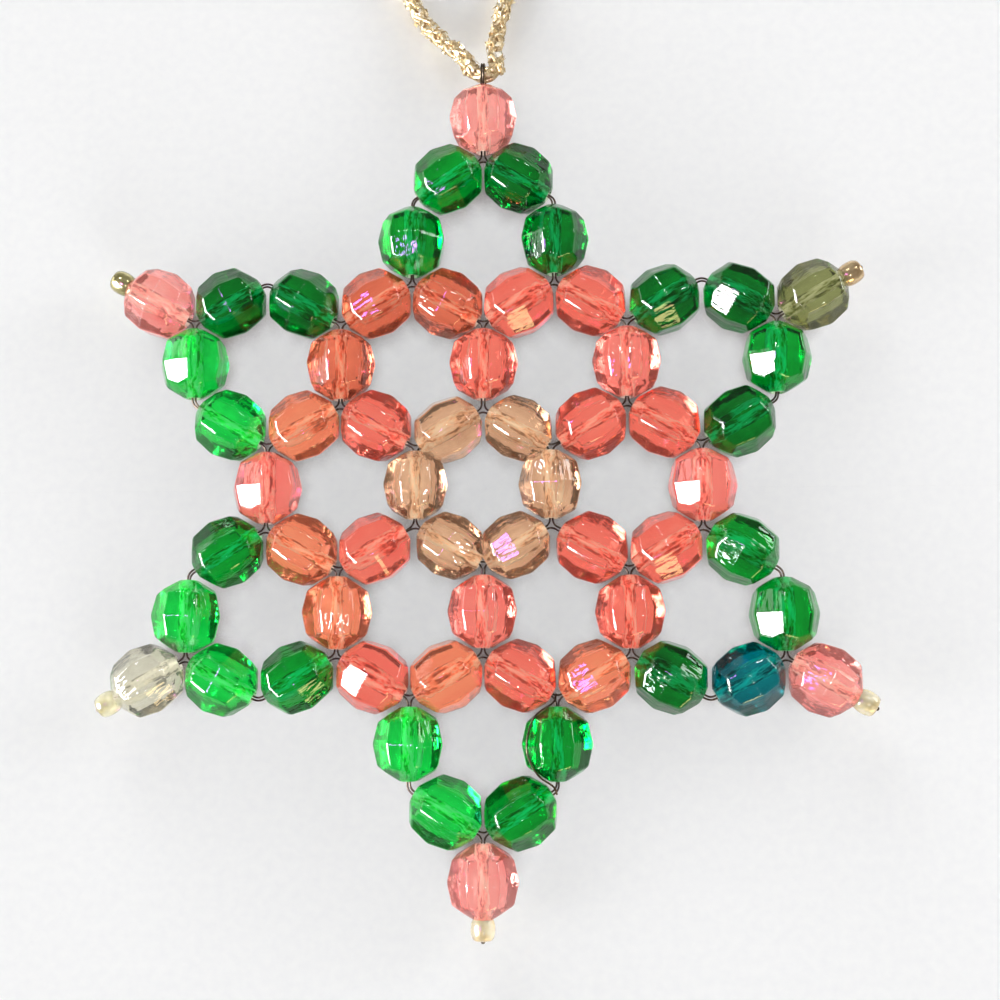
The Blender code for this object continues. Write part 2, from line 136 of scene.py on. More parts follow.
class Shader:
    """A material with a Principled shader and short calls to add nodes before it."""

    def __init__(self, name, **values):
        self.material = bpy.data.materials.new(name)
        self.material.use_nodes = True
        self.tree = self.material.node_tree
        self.bsdf = self.tree.nodes["Principled BSDF"]
        for key, value in values.items():
            self.bsdf.inputs[key.replace("_", " ")].default_value = value

    def node(self, kind, **values):
        made = self.tree.nodes.new("ShaderNode" + kind)
        for key, value in values.items():
            if key in made.inputs:
                made.inputs[key].default_value = value
            else:
                setattr(made, key, value)
        return made

    def join(self, start, end):
        self.tree.links.new(start, end)

    def place(self, along=1.0):
        """Object coordinates. Below 1, along draws a pattern out along local Z, a bead's hole."""
        coords = self.node("TexCoord")
        mapping = self.node("Mapping")
        mapping.inputs["Scale"].default_value = (1, 1, along)
        self.join(coords.outputs["Object"], mapping.inputs["Vector"])
        return mapping.outputs["Vector"]

    def noise(self, pattern, along=1.0):
        """Noise from 0 to 1. pattern is its scale in waves per metre, detail and roughness."""
        scale, detail, roughness = pattern
        made = self.node("TexNoise", Scale=scale, Detail=detail, Roughness=roughness)
        self.join(self.place(along), made.inputs["Vector"])
        return made.outputs["Fac"]

    def ramp(self, factor, stops):
        """Colour by factor, from stops of a position and a colour."""
        made = self.node("ValToRGB")
        points = made.color_ramp.elements
        while len(points) < len(stops):
            points.new(0.5)
        for point, (position, colour) in zip(points, stops):
            point.position = position
            point.color = (*colour, 1.0)
        self.join(factor, made.inputs["Fac"])
        return made.outputs["Color"]

    def multiplied(self, first, second):
        made = self.node("Mix", data_type="RGBA", blend_type="MULTIPLY")
        made.inputs["Factor"].default_value = 1.0
        self.join(first, made.inputs[MIX_FIRST])
        self.join(second, made.inputs[MIX_SECOND])
        return made.outputs[MIX_RESULT]

    def colour(self, factor, stops, target="Base Color"):
        self.join(self.ramp(factor, stops), self.bsdf.inputs[target])

    def bump(self, height, strength, distance):
        made = self.node("Bump", Strength=strength, Distance=distance)
        self.join(height, made.inputs["Height"])
        self.join(made.outputs["Normal"], self.bsdf.inputs["Normal"])

    def roughness(self, factor, low, high):
        """Roughness from low to high as factor goes from 0 to 1."""
        made = self.node("MapRange")
        made.inputs["To Min"].default_value = low
        made.inputs["To Max"].default_value = high
        self.join(factor, made.inputs["Value"])
        self.join(made.outputs["Result"], self.bsdf.inputs["Roughness"])


# Noise patterns: scale, detail and roughness
CLOUDS, WEAR, FLOW, FLECKS = (260, 4.0, 0.6), (1400, 3.0, 0.5), (620, 3.0, 0.6), (1900, 3.0, 0.65)
WIRE_GRAIN, THREAD_GRAIN, THREAD_FIBRE = (2600, 2.0, 0.5), (2200, 3.0, 0.65), (5200, 2.0, 0.5)
GLASS_SWIRL, PAPER_FIBRE, HAZE = (700, 2.0, 0.5), (900, 3.0, 0.5), (0.4, 1.0, 0.5)
FOIL_CELLS_SCALE = 1500.0

ACRYLIC_IOR, GLASS_IOR = 1.49, 1.5
# How far the patterns in a bead are drawn out along its hole
CLOUDS_ALONG, FLOW_ALONG, FLECKS_ALONG = 0.4, 0.3, 0.25
# Each shade: colour of the pale streaks, colour of the deep streaks, and how cloudy the acrylic is
SHADES = {
    "green": ((0.0, 0.37, 0.03), (0.0, 0.12, 0.008), 0.03),
    "deep_green": ((0.0, 0.21, 0.018), (0.0, 0.055, 0.004), 0.03),
    "bright_green": ((0.01, 0.74, 0.08), (0.0, 0.29, 0.025), 0.04),
    "teal": ((0.0, 0.19, 0.20), (0.0, 0.065, 0.09), 0.03),
    "coral": ((0.88, 0.20, 0.14), (0.84, 0.125, 0.09), 0.07),
    "orange": ((0.88, 0.28, 0.145), (0.84, 0.185, 0.095), 0.07),
    "pink": ((0.90, 0.24, 0.185), (0.88, 0.16, 0.13), 0.08),
    "amber": ((0.80, 0.185, 0.095), (0.58, 0.11, 0.06), 0.06),
    "rose": ((0.92, 0.39, 0.335), (0.88, 0.175, 0.155), 0.10),
    "champagne": ((0.80, 0.48, 0.285), (0.46, 0.225, 0.125), 0.05),
    "olive": ((0.27, 0.29, 0.11), (0.17, 0.18, 0.06), 0.05),
    "clear": ((0.70, 0.67, 0.54), (0.54, 0.52, 0.40), 0.03),
}


def acrylic(shade):
    name = "acrylic_" + shade
    if name in bpy.data.materials:
        return bpy.data.materials[name]
    pale, deep, cloudy = SHADES[shade]
    look = Shader(name, IOR=ACRYLIC_IOR, Transmission_Weight=1.0 - cloudy)
    look.colour(look.noise(CLOUDS, CLOUDS_ALONG), ((0.36, deep), (0.64, pale)))
    look.roughness(look.noise(WEAR), 0.0, 0.09)
    # Flow lines of the moulded acrylic, along the hole
    look.bump(look.noise(FLOW, FLOW_ALONG), 0.6, 0.25 * MM)
    return look.material


# Painted highlight: the warm white that the bright flecks in a bead's hole are lightened toward,
# whatever the bead's shade
PAINTED_HIGHLIGHT_TINT = (1.0, 0.97, 0.80)
BORE_TRANSMISSION = 0.2
# How much of the pale colour the flecks keep, and how much painted highlight the bright flecks take
# on
FLECK_SHADE, PAINTED_HIGHLIGHT_SHARE = 0.3, 0.7


def bore_wall(shade):
    """The hole's wall: scored by the moulding pin, with dark and bright flecks along it. The bright
    flecks are painted highlights that stand for light carried along the hole.
    """
    name = "bore_" + shade
    if name in bpy.data.materials:
        return bpy.data.materials[name]
    pale, _deep, _cloudy = SHADES[shade]
    dark = tuple(FLECK_SHADE * level for level in pale)
    # Painted highlight: the bright flecks mix the pale colour with a warm white
    bright = tuple(FLECK_SHADE * level + PAINTED_HIGHLIGHT_SHARE * gleam for level, gleam in zip(pale, PAINTED_HIGHLIGHT_TINT))
    look = Shader(name, IOR=ACRYLIC_IOR, Transmission_Weight=BORE_TRANSMISSION)
    flecks = look.noise(FLECKS, FLECKS_ALONG)
    look.colour(flecks, ((0.38, dark), (0.45, pale), (0.54, bright)))
    look.roughness(flecks, 0.45, 0.1)
    look.bump(flecks, 0.9, 0.2 * MM)
    return look.material


def wire_look():
    look = Shader("dark_wire", Metallic=1.0)
    grain = look.noise(WIRE_GRAIN)
    look.colour(grain, ((0.35, (0.035, 0.026, 0.02)), (0.7, (0.13, 0.10, 0.075))))
    look.roughness(grain, 0.25, 0.5)
    return look.material


THREAD_COLOURS = (
    (0.30, (0.23, 0.145, 0.055)),
    (0.50, (0.57, 0.42, 0.22)),
    (0.68, (0.90, 0.79, 0.57)),
)
FOIL_COLOURS = (
    (0.25, (0.66, 0.52, 0.27)),
    (0.60, (0.92, 0.82, 0.56)),
    (0.88, (1.0, 0.96, 0.84)),
)
GILT_METALLIC = 0.6


def cord_look():
    look = Shader("gold_thread", Metallic=GILT_METALLIC)
    grain = look.noise(THREAD_GRAIN)
    look.colour(grain, THREAD_COLOURS)
    look.roughness(grain, 0.28, 0.5)
    look.bump(look.noise(THREAD_FIBRE), 0.5, 0.1 * MM)
    return look.material


def glitter_look():
    look = Shader("glitter_foil", Metallic=GILT_METALLIC)
    cells = look.node("TexVoronoi", Scale=FOIL_CELLS_SCALE)
    look.join(look.place(), cells.inputs["Vector"])
    pick = look.node("SeparateColor")
    look.join(cells.outputs["Color"], pick.inputs["Color"])
    look.colour(pick.outputs["Red"], FOIL_COLOURS)
    look.roughness(pick.outputs["Green"], 0.2, 0.45)
    return look.material


# Each stopper bead: darker and lighter colour, how metallic and how clear it is
STOPPER_LOOKS = {
    "upper_right": ((0.46, 0.30, 0.15), (0.72, 0.54, 0.30), 0.6, 0.0),
    "upper_left": ((0.34, 0.30, 0.12), (0.62, 0.55, 0.26), 0.6, 0.0),
    "lower_right": ((0.86, 0.74, 0.42), (0.97, 0.92, 0.72), 0.0, 0.55),
    "lower_left": ((0.84, 0.78, 0.46), (0.97, 0.95, 0.74), 0.0, 0.65),
    "bottom": ((0.95, 0.80, 0.48), (0.99, 0.95, 0.76), 0.0, 0.6),
}


def stopper_look(arm):
    dark, light, metal, clear = STOPPER_LOOKS[arm]
    look = Shader(
        "stopper_" + arm, Metallic=metal, Transmission_Weight=clear, IOR=GLASS_IOR, Coat_Weight=0.6
    )
    swirl = look.noise(GLASS_SWIRL)
    look.colour(swirl, ((0.35, dark), (0.65, light)))
    look.roughness(swirl, 0.08, 0.25)
    return look.material


# Tubes


def frames_along(points, closed=False):
    """Unit directions and side vectors that turn as little as possible along the points."""
    count = len(points)
    ways = []
    for k in range(count):
        if closed:
            way = points[(k + 1) % count] - points[k - 1]
        else:
            way = points[min(k + 1, count - 1)] - points[max(k - 1, 0)]
        ways.append(way.normalized())
    side = ways[0].orthogonal().normalized()
    sides = []
    for way in ways:
        side = (side - way * side.dot(way)).normalized()
        sides.append(side)
    if closed:
        # Spreads the turn that is left when the loop comes round
        last = (sides[-1] - ways[0] * sides[-1].dot(ways[0])).normalized()
        left = math.atan2(ways[0].dot(last.cross(sides[0])), last.dot(sides[0]))
        for k, way in enumerate(ways):
            sides[k] = Matrix.Rotation(left * k / count, 3, way) @ sides[k]
    return ways, sides


TUBE_SIDES = 8


def tube(shape, points, radius, sides=TUBE_SIDES, closed=False):
    """Adds a round tube along the points to a bmesh."""
    ways, outs = frames_along(points, closed)
    rings = []
    for point, way, out in zip(points, ways, outs):
        across = way.cross(out)
        ring = []
        for k in range(sides):
            angle = 2 * math.pi * k / sides
            ring.append(
                shape.verts.new(point + (out * math.cos(angle) + across * math.sin(angle)) * radius)
            )
        rings.append(ring)
    pairs = list(zip(rings, rings[1:]))
    if closed:
        pairs.append((rings[-1], rings[0]))
    for start, end in pairs:
        for k in range(sides):
            n = (k + 1) % sides
            shape.faces.new((start[k], start[n], end[n], end[k]))
    if not closed:
        shape.faces.new(rings[0][::-1])
        shape.faces.new(rings[-1])


def mesh_of(shape, name, smooth=True):
    bmesh.ops.recalc_face_normals(shape, faces=shape.faces)
    mesh = bpy.data.meshes.new(name)
    shape.to_mesh(mesh)
    shape.free()
    if smooth:
        mesh.shade_smooth()
    return mesh


def evenly(points, step):
    """The polyline's points again, a step apart, both ends kept."""
    travelled = [0.0]
    for a, b in zip(points, points[1:]):
        travelled.append(travelled[-1] + (b - a).length)
    count = max(2, round(travelled[-1] / step))
    out, k = [], 0
    for n in range(count):
        wanted = travelled[-1] * n / count
        while travelled[k + 1] < wanted:
            k += 1
        share = (wanted - travelled[k]) / max(travelled[k + 1] - travelled[k], 1e-12)
        out.append(points[k].lerp(points[k + 1], share))
    out.append(points[-1])
    return out


def smooth_curve(points, pieces=24):
    """A smooth curve through the points, in so many pieces from one to the next."""
    padded = [points[0] * 2 - points[1], *points, points[-1] * 2 - points[-2]]
    fine = []
    for a, b, c, d in zip(padded, padded[1:], padded[2:], padded[3:]):
        for k in range(pieces):
            t = k / pieces
            bend = 2 * a - 5 * b + 4 * c - d
            twist = 3 * b - a - 3 * c + d
            fine.append((2 * b + (c - a) * t + bend * t**2 + twist * t**3) / 2)
    fine.append(points[-1])
    return fine


# Hanging cord: a braid of metallic threads with foil glitter on it

# Across the star, away from it, and down from the eye to the table as a share
CORD_ROUTE_MM = (
    (-1.5, 0.0, 0.0),
    (-1.6, 1.1, 0.04),
    (-2.74, 2.7, 0.22),
    (-4.62, 4.6, 0.52),
    (-6.51, 6.8, 0.84),
    (-8.3, 9.6, 1.0),
    (-10.6, 14.6, 1.0),
    (-12.9, 21.2, 1.0),
    (-14.5, 28.6, 1.0),
    (-15.0, 36.4, 1.0),
    (-13.9, 44.0, 1.0),
    (-11.0, 50.6, 1.0),
    (-6.4, 55.4, 1.0),
    (-0.6, 57.5, 1.0),
    (5.0, 56.2, 1.0),
    (9.2, 51.8, 1.0),
    (11.3, 45.6, 1.0),
    (11.6, 38.4, 1.0),
    (10.5, 30.8, 1.0),
    (7.8, 23.4, 1.0),
    (4.8, 16.6, 1.0),
    (2.5, 10.6, 1.0),
    (1.81, 7.2, 0.86),
    (1.42, 4.6, 0.52),
    (1.44, 2.4, 0.18),
    (1.5, 1.0, 0.03),
    (1.5, 0.0, 0.0),
)
EYE_MIDDLE = Vector(joint_of(LOOP)["pos_m"])
EYE_RADIUS = 1.16 * MM


def cord_route():
    drop = AXIS_HEIGHT - CORD_DIAMETER / 2
    points = [
        EYE_MIDDLE + Vector((across * MM, away * MM, -down * drop))
        for across, away, down in CORD_ROUTE_MM
    ]
    return smooth_curve(points)


BRAID_RADIUS = 0.60 * MM
THREAD_RADIUS, THREAD_SIDES = 0.34 * MM, 6
THREAD_WEAVE = 0.10 * MM
BRAID_THREADS = 6
BRAID_PITCH, BRAID_STEP = 7.2 * MM, 0.25 * MM
CORE_RADIUS = 0.55 * MM
CORE_STEP, FOLD_CORE_STEP = 0.6 * MM, 0.4 * MM


def braid(shape, points):
    """Threads that wind both ways round the line and pass over and under each other."""
    line = evenly(points, BRAID_STEP)
    ways, outs = frames_along(line)
    step = (line[1] - line[0]).length
    for k in range(BRAID_THREADS):
        turn = 1 if k % 2 else -1
        start = 2 * math.pi * (k // 2) * 2 / BRAID_THREADS
        thread = []
        for n, (point, way, out) in enumerate(zip(line, ways, outs)):
            angle = start + turn * 2 * math.pi * n * step / BRAID_PITCH
            weave = math.sin(BRAID_THREADS / 2 * (angle + turn * math.pi / BRAID_THREADS))
            reach = BRAID_RADIUS + turn * THREAD_WEAVE * weave
            across = way.cross(out)
            thread.append(point + (out * math.cos(angle) + across * math.sin(angle)) * reach)
        tube(shape, thread, THREAD_RADIUS, THREAD_SIDES)


FLAKE_COUNT, FLAKE_STEP = 1150, 0.2 * MM
# Distance from the cord's middle and half a flake's length, least and most
FLAKE_HEIGHTS_MM, FLAKE_HALVES_MM = (0.84, 1.04), (0.2, 0.32)
FLAKE_THICKNESS, FLAKE_NARROWNESS = 0.03 * MM, 0.85
# How far flakes lean, in radians: spread about the cord's line and across it
FLAKE_ROLL, FLAKE_TILT = 0.45, 0.5
BOX_FACES = (
    (3, 2, 1, 0),
    (4, 5, 6, 7),
    (0, 1, 5, 4),
    (1, 2, 6, 5),
    (2, 3, 7, 6),
    (3, 0, 4, 7),
)


def glitter(shape, points):
    """Small square foil flakes that stand on the cord at all angles."""
    line = evenly(points, FLAKE_STEP)
    ways, outs = frames_along(line)
    for _ in range(FLAKE_COUNT):
        k = RNG.randrange(2, len(line) - 2)
        way, out = ways[k], outs[k]
        across = way.cross(out)
        angle = RNG.uniform(0, 2 * math.pi)
        away = out * math.cos(angle) + across * math.sin(angle)
        middle = line[k] + away * RNG.uniform(*FLAKE_HEIGHTS_MM) * MM
        roll = Matrix.Rotation(RNG.gauss(0, FLAKE_ROLL), 3, way)
        lean = roll @ Matrix.Rotation(RNG.gauss(0, FLAKE_TILT), 3, away.cross(way))
        up = lean @ away
        right = (lean @ way - up * up.dot(lean @ way)).normalized()
        back = up.cross(right)
        size = RNG.uniform(*FLAKE_HALVES_MM) * MM
        corners = []
        for high in (0, FLAKE_THICKNESS):
            for a, b in ((-1, -1), (1, -1), (1, 1), (-1, 1)):
                far, wide = right * a * size, back * b * size * FLAKE_NARROWNESS
                corners.append(shape.verts.new(middle + far + wide + up * high))
        for face in BOX_FACES:
            shape.faces.new([corners[i] for i in face])


# The fold that lies in the wire eye, from one strand to the other
FOLD_HALF_WIDTH, FOLD_START, FOLD_DEPTH = 1.5 * MM, 1.0 * MM, 1.15 * MM
FOLD_PIECES = 24


def fold_route():
    points = []
    for k in range(FOLD_PIECES + 1):
        angle = math.pi + math.pi * k / FOLD_PIECES
        across = FOLD_HALF_WIDTH * math.cos(angle)
        points.append(EYE_MIDDLE + Vector((across, FOLD_START + FOLD_DEPTH * math.sin(angle), 0)))
    return points


def add_cord():
    route = cord_route()
    shape = bmesh.new()
    tube(shape, evenly(route, CORE_STEP), CORE_RADIUS)
    braid(shape, route)
    cord = new_object("cord_braid", mesh_of(shape, "cord_braid"))
    cord.data.materials.append(cord_look())
    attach(cord, LOOP)
    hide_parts("hanging_cord")

    fold_shape = bmesh.new()
    tube(fold_shape, evenly(fold_route(), FOLD_CORE_STEP), CORE_RADIUS)
    braid(fold_shape, fold_route())
    fold = new_object("cord_fold_in_eye", mesh_of(fold_shape, "cord_fold_in_eye"))
    fold.data.materials.append(cord.data.materials[0])
    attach(fold, LOOP)

    foil_shape = bmesh.new()
    glitter(foil_shape, route)
    foil = new_object("cord_glitter", mesh_of(foil_shape, "cord_glitter", smooth=False))
    foil.data.materials.append(glitter_look())
    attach(foil, LOOP)

    evenly(route, 1.0 * MM)


# Wire: one strand round the inside of each cell and one round the outside of the star

MIDDLE_TO_EYE = 50.423 * MM
STAR_MIDDLE = Vector((0, EYE_MIDDLE.y - MIDDLE_TO_EYE, AXIS_HEIGHT))
# How far the crossings lie out along an arm
RING_REACH, HUB_REACH, SHOULDER_REACH, ELBOW_REACH, PEAK_REACH = (
    9.1 * MM,
    19.379 * MM,
    24.358 * MM,
    34.577 * MM,
    39.633 * MM,
)
ARM_HALF_WIDTH = 8.417 * MM
TIP_OUTER_END = 48.823 * MM
WIRE_TIP_END = 51.382 * MM
STRAND_RADIUS = WIRE_DIAMETER / 2
# How far a strand keeps from the line between two crossings: at them, and in the bore
STRAND_SIDE, STRAND_SPREAD = 0.13 * MM, 0.34 * MM
BORE_SHARES = (0.3, 0.7)
# A corner is rounded over this much of its two sides, but under half of a short side
CORNER_CUT, CUT_SHARE, CORNER_STEPS = 0.7 * MM, 0.48, 6
# Crossings that stand closer than this have no bead between them
CROSSING_SPAN = 5.0 * MM
EYE_TURNS, EYE_STEPS = 2, 28
# From the top tip bead's outer end: where the wire turns back and where its eye takes over
TOP_TURN_INSET, EYE_INSET = 0.2 * MM, 0.8 * MM
# Keeps the two corners of a turn in a bead's end from falling together
HAIR = 0.002 * MM


def out_of(arm_number):
    """The way outward along an arm. The arms are numbered clockwise from the top."""
    angle = math.radians(90 - 60 * arm_number)
    return Vector((math.cos(angle), math.sin(angle), 0))


def beside(arm_number):
    """To the right of someone who looks outward along the arm."""
    out = out_of(arm_number)
    return Vector((out.y, -out.x, 0))


def crossing(arm_number, along, across=0.0):
    return STAR_MIDDLE + out_of(arm_number) * along + beside(arm_number) * across


def ring_crossing(arm_number):
    return crossing(arm_number, RING_REACH)


def cell_paths():
    """The crossings round each cell, clockwise."""
    cells = [[ring_crossing(k) for k in range(ARM_COUNT)]]
    for k in range(ARM_COUNT):
        cells.append(
            [
                ring_crossing(k),
                crossing(k, HUB_REACH),
                crossing(k, SHOULDER_REACH, ARM_HALF_WIDTH),
                crossing(k + 1, SHOULDER_REACH, -ARM_HALF_WIDTH),
                crossing(k + 1, HUB_REACH),
                ring_crossing(k + 1),
            ]
        )
        cells.append(
            [
                crossing(k, HUB_REACH),
                crossing(k, SHOULDER_REACH, -ARM_HALF_WIDTH),
                crossing(k, ELBOW_REACH, -ARM_HALF_WIDTH),
                crossing(k, PEAK_REACH),
                crossing(k, ELBOW_REACH, ARM_HALF_WIDTH),
                crossing(k, SHOULDER_REACH, ARM_HALF_WIDTH),
            ]
        )
    return cells


def shifted(points, side):
    """A closed path moved to the right of its way by side, or to the left if side is negative."""
    out = []
    for k, point in enumerate(points):
        before = (point - points[k - 1]).normalized()
        after = (points[(k + 1) % len(points)] - point).normalized()
        first = Vector((before.y, -before.x, 0))
        second = Vector((after.y, -after.x, 0))
        out.append(point + (first + second) * (side / (1 + first.dot(second))))
    return out


def strand(points, side):
    """A closed path of wire on one side of the crossings: close to them, spread in the bores."""
    sign = math.copysign(1, side)
    near = shifted(points, side)
    out = []
    for k, point in enumerate(points):
        after = points[(k + 1) % len(points)]
        way = after - point
        out.append(near[k])
        if way.length > CROSSING_SPAN:
            middle = (point + after) / 2
            # Some bores have their two strands side by side and others one above the other
            seed = round(middle.x * 1e5) * 7919 + round(middle.y * 1e5)
            lean = random.Random(seed).uniform(0, math.pi / 2)
            sideways = Vector((way.y, -way.x, 0)).normalized() * math.cos(lean)
            # Where one of a bore's two strands rises, the other sinks
            upward = math.copysign(math.sin(lean), way.x + 0.01 * way.y)
            spread = (sideways + Vector((0, 0, upward))) * sign * STRAND_SPREAD
            for share in BORE_SHARES:
                out.append(point.lerp(after, share) + spread)
    return rounded(out)


def rounded(points):
    """A closed path with its corners rounded."""
    out = []
    for k, point in enumerate(points):
        before, after = points[k - 1] - point, points[(k + 1) % len(points)] - point
        reach = min(CORNER_CUT, before.length * CUT_SHARE, after.length * CUT_SHARE)
        start, end = point + before.normalized() * reach, point + after.normalized() * reach
        for n in range(CORNER_STEPS + 1):
            share = n / CORNER_STEPS
            out.append(start.lerp(point, share).lerp(point.lerp(end, share), share))
    return out


def eye_turns():
    """The wire's two turns through which the cord's fold passes."""
    points = []
    count = EYE_STEPS * EYE_TURNS
    for k in range(count + 1):
        angle = -math.pi / 2 + 2 * math.pi * EYE_TURNS * k / count
        across = (k / count - 0.5) * 2 * EYE_TURNS * STRAND_SIDE
        turned = (across, EYE_RADIUS * math.sin(angle), EYE_RADIUS * math.cos(angle))
        points.append(EYE_MIDDLE + Vector(turned))
    return points


def outer_path():
    """Round the outside, out along each tip bead and back, and through the eye at the top."""
    corners = []
    for k in range(ARM_COUNT):
        end = WIRE_TIP_END - STRAND_SIDE - STRAND_RADIUS
        if k == 0:
            end = TIP_OUTER_END - STRAND_SIDE - TOP_TURN_INSET
        corners += [
            crossing(k, SHOULDER_REACH, -ARM_HALF_WIDTH),
            crossing(k, ELBOW_REACH, -ARM_HALF_WIDTH),
            crossing(k, PEAK_REACH),
            crossing(k, end, -HAIR),
            crossing(k, end, HAIR),
            crossing(k, PEAK_REACH, HAIR),
            crossing(k, ELBOW_REACH, ARM_HALF_WIDTH),
            crossing(k, SHOULDER_REACH, ARM_HALF_WIDTH),
        ]
    path = strand(corners, -STRAND_SIDE)
    # At the top the turn in the bead's end gives way to the eye
    top = STAR_MIDDLE.y + TIP_OUTER_END - EYE_INSET
    turn = [n for n, point in enumerate(path) if point.y > top]
    path[turn[0] : turn[-1] + 1] = eye_turns()
    return path


# Bare stretches that the photograph shows beside a bead: points in mm from the bead's centre,
# along its hole, across it and up
STRAYS = {
    "bottom_arm_bead_left_low": (
        (-5.6, 0.1, 0.0),
        (-4.6, 0.5, 0.5),
        (-3.2, 2.4, 1.7),
        (-1.0, 3.3, 2.6),
        (1.2, 3.3, 2.6),
        (3.4, 2.2, 1.7),
        (4.7, 0.5, 0.6),
        (5.6, 0.1, 0.0),
    ),
}
STRAY_PIECES = 8


def stray(node, route):
    joint = joint_of(node)
    along = Vector(joint["axis"]).normalized()
    across = Vector((along.y, -along.x, 0))
    centre = Vector(joint["pos_m"])
    points = [centre + (along * a + across * b + Vector((0, 0, c))) * MM for a, b, c in route]
    return smooth_curve(points, STRAY_PIECES)


def add_wire():
    shape = bmesh.new()
    for cell in cell_paths():
        tube(shape, strand(cell, STRAND_SIDE), STRAND_RADIUS, closed=True)
    tube(shape, outer_path(), STRAND_RADIUS, closed=True)
    for node, route in STRAYS.items():
        tube(shape, stray(node, route), STRAND_RADIUS)
    wire = new_object("wire_strands", mesh_of(shape, "wire_strands"))
    wire.data.materials.append(wire_look())
    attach(wire, ROOT)
    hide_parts("stringing_wire")


# Beads


def ring_of_points(radius, height, offset):
    """A point for each facet, turned by offset of a facet's step."""
    points = []
    for k in range(FACETS):
        angle = (k + offset) * 2 * math.pi / FACETS
        points.append(Vector((radius * math.cos(angle), radius * math.sin(angle), height)))
    return points


def facet_corners(diameter, length):
    """The bead's corners: its widest ring, and each side's rings of wall, peak, crown and rim."""
    half_step = math.cos(math.pi / FACETS)
    belt, crown = math.tan(BELT_LEAN), math.tan(CROWN_LEAN)
    belt_inner = diameter / 2 * half_step
    crown_inner = RIM_RADIUS + crown * length / 2
    wall_height = (crown_inner - diameter / 2) / (crown - belt / half_step)
    wall_radius = crown_inner - crown * wall_height
    peak_height = (crown_inner / half_step - belt_inner) / (crown / half_step - belt)
    peak_radius = belt_inner - belt * peak_height
    crown_height = (peak_height + length / 2) / 2
    crown_radius = CROWN_FULLNESS * (crown_inner - crown * crown_height) / half_step
    points = ring_of_points(diameter / 2, 0, 0.5)
    for side in (-1, 1):
        points += ring_of_points(wall_radius, side * wall_height, 0.5)
        points += ring_of_points(peak_radius, side * peak_height, 0)
        points += ring_of_points(crown_radius, side * crown_height, 0.5)
        points += ring_of_points(RIM_RADIUS / half_step, side * length / 2, 0)
    return points


def applied(thing, name):
    """The thing's mesh with its modifiers in it. The thing goes."""
    bpy.context.view_layer.update()
    graph = bpy.context.evaluated_depsgraph_get()
    mesh = bpy.data.meshes.new_from_object(thing.evaluated_get(graph))
    mesh.name = name
    bpy.data.objects.remove(thing, do_unlink=True)
    return mesh


EDGE_WIDTH, EDGE_SEGMENTS = 0.28 * MM, 3
BORE_SIDES = 24
# Facets that meet at less than the first angle are one facet, above the second their edge is
# softened, and above the third it stays sharp in the shading
FLAT_ANGLE, EDGE_ANGLE, SHARP_ANGLE = (math.radians(angle) for angle in (1, 8, 32))
# Faces whose middles lie within this of the hole's line are its wall
WALL_REACH = 1.01 * BORE_RADIUS


def bead_mesh(name, diameter, length):
    """A faceted bead with softened facet edges and a bore."""
    shape = bmesh.new()
    for point in facet_corners(diameter, length):
        shape.verts.new(point)
    bmesh.ops.convex_hull(shape, input=shape.verts)
    bmesh.ops.dissolve_limit(shape, angle_limit=FLAT_ANGLE, verts=shape.verts, edges=shape.edges)
    blank = new_object(name + "_blank", mesh_of(shape, name, smooth=False))
    soften = blank.modifiers.new("soften", "BEVEL")
    soften.width, soften.segments = EDGE_WIDTH, EDGE_SEGMENTS
    soften.limit_method, soften.angle_limit = "ANGLE", EDGE_ANGLE
    drill_shape = bmesh.new()
    line = [Vector((0, 0, -length)), Vector((0, 0, 0)), Vector((0, 0, length))]
    tube(drill_shape, line, BORE_RADIUS, BORE_SIDES)
    drill = new_object("drill", mesh_of(drill_shape, "drill", smooth=False))
    cut = blank.modifiers.new("bore", "BOOLEAN")
    cut.operation, cut.solver, cut.object = "DIFFERENCE", "EXACT", drill
    mesh = applied(blank, name)
    bpy.data.objects.remove(drill, do_unlink=True)
    mesh.shade_smooth()
    mesh.set_sharp_from_angle(angle=SHARP_ANGLE)
    # The first slot is for the acrylic and the second for the hole's wall
    for _ in range(2):
        mesh.materials.append(None)
    for face in mesh.polygons:
        if face.center.xy.length < WALL_REACH:
            face.material_index = 1
    shaded = new_object(name + "_shaded", mesh)
    weigh = shaded.modifiers.new("weigh", "WEIGHTED_NORMAL")
    weigh.keep_sharp = True
    return applied(shaded, name)


def bead_place(centre, along):
    """A place with local Z along the hole and local X, where a facet looks, straight down."""
    down = Vector((0, 0, -1))
    along = along.normalized()
    side = along.cross(down).normalized()
    turn = Matrix((side.cross(along), side, along)).transposed().to_4x4()
    return Matrix.Translation(centre) @ turn


def spun(place, angle):
    """The place turned about its hole."""
    return place @ Matrix.Rotation(angle, 4, "Z")


def facet_normals():
    """The ways that the belt and crown facets look."""
    normals = []
    for side in (-1, 1):
        for k in range(FACETS):
            for offset, lean in ((0.0, BELT_LEAN), (0.5, CROWN_LEAN)):
                angle = (k + offset) * 2 * math.pi / FACETS
                flat = math.cos(lean)
                normals.append(
                    Vector((flat * math.cos(angle), flat * math.sin(angle), side * math.sin(lean)))
                )
    return normals


NORMALS = facet_normals()


def glint(place, spin):
    """How nearly some facet of a bead mirrors the window to the camera: 1 is exactly."""
    centre = place.translation
    half = ((WINDOW - centre).normalized() + (CAMERA_AT - centre).normalized()).normalized()
    turn = spun(place, spin).to_3x3()
    return max((turn @ normal).dot(half) for normal in NORMALS)


